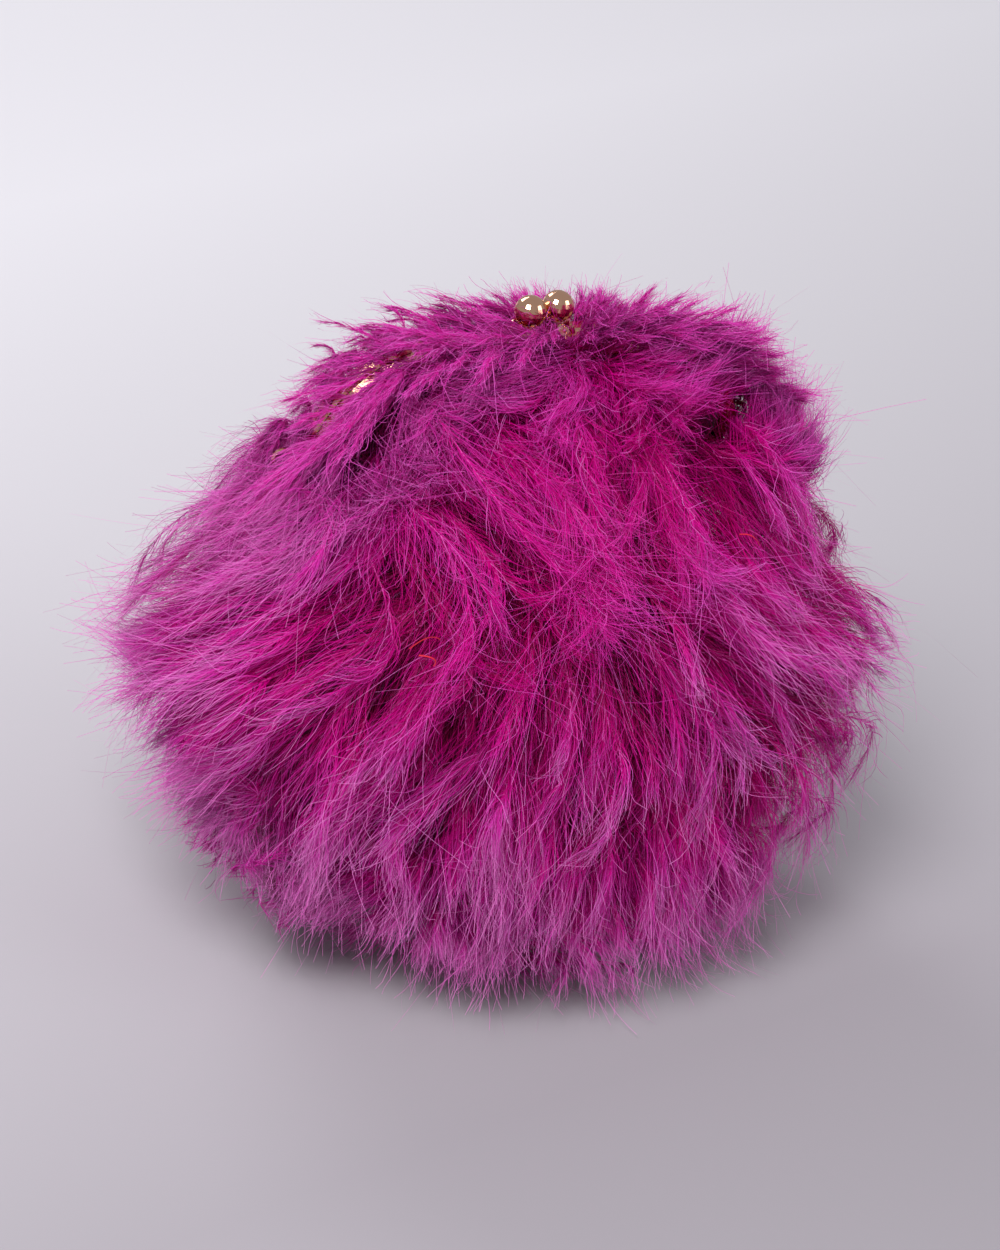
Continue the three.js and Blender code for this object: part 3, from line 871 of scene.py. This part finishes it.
def makeUpperRow(row):
    side = -1 if row.startswith("front") else 1
    roots, skins = upperRoots(row, side)
    if row.endswith("8"):
        lift = collarGrowth["lift"][side]
        plumes = growPlumes(roots, skins, lift, lengths["collar"], collarGrowth["rise"])
        plumes = together(plumes, rimPlumes(side))
    else:
        plumes = growPlumes(roots, skins, neckGrowth["lift"], lengths["neck"], neckGrowth["rise"])
    addPlumes(f"{row}_plumes", row, "opening" if side < 0 else "bag", plumes)
    print("feathered", row, len(roots))


for row in lowerRows:
    makeLowerRow(row)
for row in upperRows:
    makeUpperRow(row)

# ends of the red thread that the rows are sewn with, in mm
threadEnds = [
    {"at": (-66, -64, 146), "towards": (9, -2, 3), "bow": (0, -1, 3)},
    {"at": (-63, -65, 144), "towards": (5, -1, -4), "bow": (2, -1, 1)},
    {"at": (44, -62, 171), "towards": (7, -2, -4), "bow": (0, -1, 2)},
    {"at": (82, -62, 118), "towards": (8, -3, -7), "bow": (1, -1, 3)},
]
thread = {"width": (0.45 * mm, 0.35 * mm), "segments": 8, "tone": 0.5, "beyond": 1.1}


def makeThreadEnds():
    # polyester thread, a slight shine
    material, tree = startMaterial("red_sewing_thread")
    shine = addNode(tree, "ShaderNodeBsdfPrincipled",
                    {"Base Color": linearColour("#d0142e"), "Roughness": 0.5})
    finishMaterial(material, tree, shine)
    steps = np.linspace(0, 1, thread["segments"] + 1)[:, None]
    lines = []
    for end in threadEnds:
        a, b, bow = (np.array(end[k]) * mm for k in ("at", "towards", "bow"))
        lines.append(a + b * steps + bow * 4 * steps * (1 - steps))
    group = {**thread, "line": np.array(lines), "tone": np.full(len(lines), thread["tone"])}
    piece = ribbons("sewing_thread_ends", [group], material)
    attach(piece, "bag")


makeThreadEnds()

# flat sizes in metres, and areas in square metres
cloths = {
    "shell_panel": {"material": "shell", "slot": "marabou", "thick": 0.6 * mm,
                    "flat": (0.23, 0.22), "area": 0.0388},
    "interlining": {"material": "felt", "slot": "felt", "thick": 0.5 * mm,
                    "flat": (0.225, 0.215), "area": 0.0377},
    "lining_panel": {"material": "satin", "slot": "satin", "thick": 0.5 * mm,
                     "flat": (0.22, 0.21), "area": 0.0369},
}
gathers = {
    "count": 19,
    "depth": 1.6 * mm,
    "heldAt": 196 * mm,
    "heldOver": 20 * mm,
    "full": 150 * mm,
    "gone": 90 * mm,
    "seam": 5,
    "slack": 0.8,
}
loft = {
    "columns": 64,
    "rows": 60,
    "capRows": 8,
    "edge": 0.02,
    "capStart": 0.03,
    "aboveBottom": 0.8 * mm,
    "belowTop": 0.3 * mm,
    "sideGap": 0.8 * mm,
    "waist": (86, 31),
}


def gatherAt(p, turn):
    # soft folds that run down from the frame and die out on the belly; every layer shares them
    x, z = p[..., 0], p[..., 2]
    high = np.clip((z - gathers["gone"]) / (gathers["full"] - gathers["gone"]), 0, 1)
    held = np.clip((gathers["heldAt"] - z) / gathers["heldOver"], 0, 1)
    seam = np.clip(np.abs(np.sin(turn)) * gathers["seam"], 0, 1)
    folds = np.sin(turn * gathers["count"] + 1.3 * np.sin(turn * 5) + z * 14)
    slack = gathers["slack"] * np.sin(x * 55 + 1) * np.sin(z * 48) * np.clip(z / (60 * mm), 0, 1)
    return (folds * high + slack) * held * seam * gathers["depth"]


def castTo(tree, start, towards):
    hit = tree.ray_cast(Vector(start), (Vector(towards) - Vector(start)).normalized())
    return hit[0]


def gridQuads(columns, rows, isFlipped):
    first = np.arange(columns - 1)[:, None] * rows + np.arange(rows - 1)[None]
    quads = np.stack([first, first + 1, first + rows + 1, first + rows], -1).reshape(-1, 4)
    return quads[:, ::-1] if isFlipped else quads


def loftPanel(node):
    # a half of the pouch, wrapped over the shape that the cutter made for it
    tree = surfaceOf(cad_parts[node].data)
    low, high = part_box(node)
    side = -1 if node.startswith("front") else 1
    turns = np.linspace(loft["edge"], math.pi - loft["edge"], loft["columns"] + 1)
    gap = side * loft["sideGap"]
    halfAt = {}

    def across(z):
        key = round(z, 5)
        if key not in halfAt:
            x = castTo(tree, (0.3, gap, z), (0, gap, z))
            y = castTo(tree, (0, side * 0.3, z), (0, 0, z))
            halfAt[key] = (x.x if x else arch["halfSpan"], abs(y.y) if y else 5 * mm)
        return halfAt[key]

    def at(turn, z):
        wide, deep = across(z)
        aim = Vector((wide * math.cos(turn), side * deep * math.sin(turn), z))
        out = Vector((math.cos(turn) / wide, side * math.sin(turn) / deep, 0)).normalized()
        return castTo(tree, aim + out * 0.06, aim - out * 0.02)

    def topOf(turn, bottom):
        # the highest place that the panel reaches at this turn
        top, fail = bottom + 0.06, high.z
        for step in range(14):
            middle = (top + fail) / 2
            top, fail = (middle, fail) if at(turn, middle) else (top, middle)
        return top

    bottom = low.z + loft["aboveBottom"]
    grid = []
    for turn in turns:
        top = topOf(turn, bottom)
        foot = at(turn, bottom)
        line = []
        for k in range(loft["capRows"]):
            share = loft["capStart"] + (1 - loft["capStart"]) * k / loft["capRows"]
            x, y = foot.x * share, foot.y * share
            line.append(castTo(tree, (x, y, -0.05), (x, y, 1)) or Vector((x, y, low.z)))
        for z in np.linspace(bottom, top - loft["belowTop"], loft["rows"] + 1):
            line.append(at(turn, z) or line[-1])
        grid.append(line)
    grid = np.array([[tuple(p) for p in line] for line in grid])
    wide, deep = loft["waist"]
    out = unit(grid * np.array([1 / wide ** 2, 1 / deep ** 2, 0]) * 1e4 + np.array([0, side * 1e-6, 0]))
    grid = grid - out * np.abs(gatherAt(grid, turns[:, None]))[..., None]
    return grid.reshape(-1, 3), gridQuads(*grid.shape[:2], side > 0)


def thicken(piece, thick):
    solid = piece.modifiers.new("thickness", "SOLIDIFY")
    solid.thickness = thick
    solid.offset = -1


def addCloth(half, kind):
    node, cloth = f"{half}_{kind}", cloths[kind]
    points, quads = loftPanel(node)
    piece = meshPiece(f"{node}_cloth", points, quads, materials[cloth["material"]])
    thicken(piece, cloth["thick"])
    standIn(piece, "opening" if half == "front" else "bag", node)
    return piece


pocket = {
    "flat": (0.086, 0.069),
    "thick": 0.5 * mm,
    "gape": 2.2 * mm,
    "inset": 1.3 * mm,
    "edge": 0.2 * mm,
    "columns": 41,
    "rows": 33,
}


def addPocket(lining):
    # an open-topped slip pocket, stitched to the rear lining round three sides
    tree = surfaceOf(lining.data)
    low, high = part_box("slip_pocket")
    edge = pocket["edge"]
    acrossAt = np.linspace(low.x + edge, high.x - edge, pocket["columns"])
    upAt = np.linspace(low.z + edge, high.z - edge, pocket["rows"])
    grid = np.array([[tuple(castTo(tree, (x, -0.1, z), (x, 0, z))) for z in upAt] for x in acrossAt])
    middle = np.clip(1 - (grid[..., 0] / high.x) ** 2, 0, 1)
    upShare = (grid[..., 2] - low.z) / (high.z - low.z)
    grid[..., 1] -= pocket["inset"] + pocket["gape"] * middle * upShare ** 3
    quads = gridQuads(pocket["columns"], pocket["rows"], True)
    piece = meshPiece("slip_pocket_cloth", grid.reshape(-1, 3), quads, materials["satin"])
    thicken(piece, pocket["thick"])
    standIn(piece, "bag", "slip_pocket")


sewn = {(half, kind): addCloth(half, kind) for kind in cloths for half in ("front", "rear")}
addPocket(sewn["rear", "lining_panel"])
print("pouch sewn")

metalWords = ("frame", "clasp", "rivet", "eye")
sharpFrom = math.radians(32)

for name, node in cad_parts.items():
    isMetal = any(word in name for word in metalWords)
    if isMetal or "paper_cord" in name:
        node.data.materials.clear()
        node.data.materials.append(materials["gold" if isMetal else "paper"])
        node.data.polygons.foreach_set("use_smooth", np.full(len(node.data.polygons), True))
        node.data.set_sharp_from_angle(angle=sharpFrom)

# the floor's grey runs from near to far as painted shade, darker near the viewer
floorWithPaintedShade = {"halfSize": 6.0, "turn": -12.7, "nearAt": -0.1, "farAt": 0.48, "near": "#a5a0a7", "far": "#dfdde3"}
lamps = {
    "key": {"at": (-1.0, -0.8, 1.7), "size": 0.85, "power": 40},
    "fill": {"at": (1.6, -1.4, 1.0), "size": 1.2, "power": 10},
    "back": {"at": (-0.4, 1.9, 1.3), "size": 1.2, "power": 17},
}
lampsAim = Vector((0, 0, 0.1))
room = {"colour": "#f2f1f6", "strength": 0.4}


def makeFloor():
    # matte sweep paper with painted shade: greyer towards the viewer, paler further off
    material, tree = startMaterial("matte_studio_paper")
    where = addNode(tree, "ShaderNodeTexCoord")
    turned = addNode(tree, "ShaderNodeMapping", {"Rotation": (0, 0, math.radians(floorWithPaintedShade["turn"]))},
                     {"Vector": where.outputs["Object"]})
    split = addNode(tree, "ShaderNodeSeparateXYZ", links={0: turned.outputs["Vector"]})
    far = addNode(tree, "ShaderNodeMapRange", {"From Min": floorWithPaintedShade["nearAt"], "From Max": floorWithPaintedShade["farAt"]},
                  {"Value": split.outputs["Y"]})
    paintedShade = addNode(tree, "ShaderNodeValToRGB", links={"Fac": far.outputs["Result"]})
    setRamp(paintedShade, [(0.0, floorWithPaintedShade["near"]), (1.0, floorWithPaintedShade["far"])])
    paper = addNode(tree, "ShaderNodeBsdfPrincipled", {"Roughness": 0.95, "Specular IOR Level": 0.1},
                    {"Base Color": paintedShade.outputs["Color"]})
    finishMaterial(material, tree, paper)
    size = floorWithPaintedShade["halfSize"]
    corners = np.array([(-size, -size, 0), (size, -size, 0), (size, size, 0), (-size, size, 0)])
    floor = meshPiece("floor", corners, np.array([[0, 1, 2, 3]]), material)


def makeLamp(name, lamp):
    data = bpy.data.lights.new(name, "AREA")
    data.shape = "DISK"
    data.size = lamp["size"]
    data.energy = lamp["power"]
    holder = bpy.data.objects.new(name, data)
    holder.location = lamp["at"]
    holder.rotation_mode = "QUATERNION"
    holder.rotation_quaternion = (lampsAim - Vector(lamp["at"])).to_track_quat("-Z", "Y")
    scene.collection.objects.link(holder)


def makeRoom():
    world = bpy.data.worlds.new("studio")
    world.use_nodes = True
    background = world.node_tree.nodes["Background"]
    background.inputs["Color"].default_value = linearColour(room["colour"])
    background.inputs["Strength"].default_value = room["strength"]
    scene.world = world


makeFloor()
for name, lamp in lamps.items():
    makeLamp(name, lamp)
makeRoom()
print("studio lit")
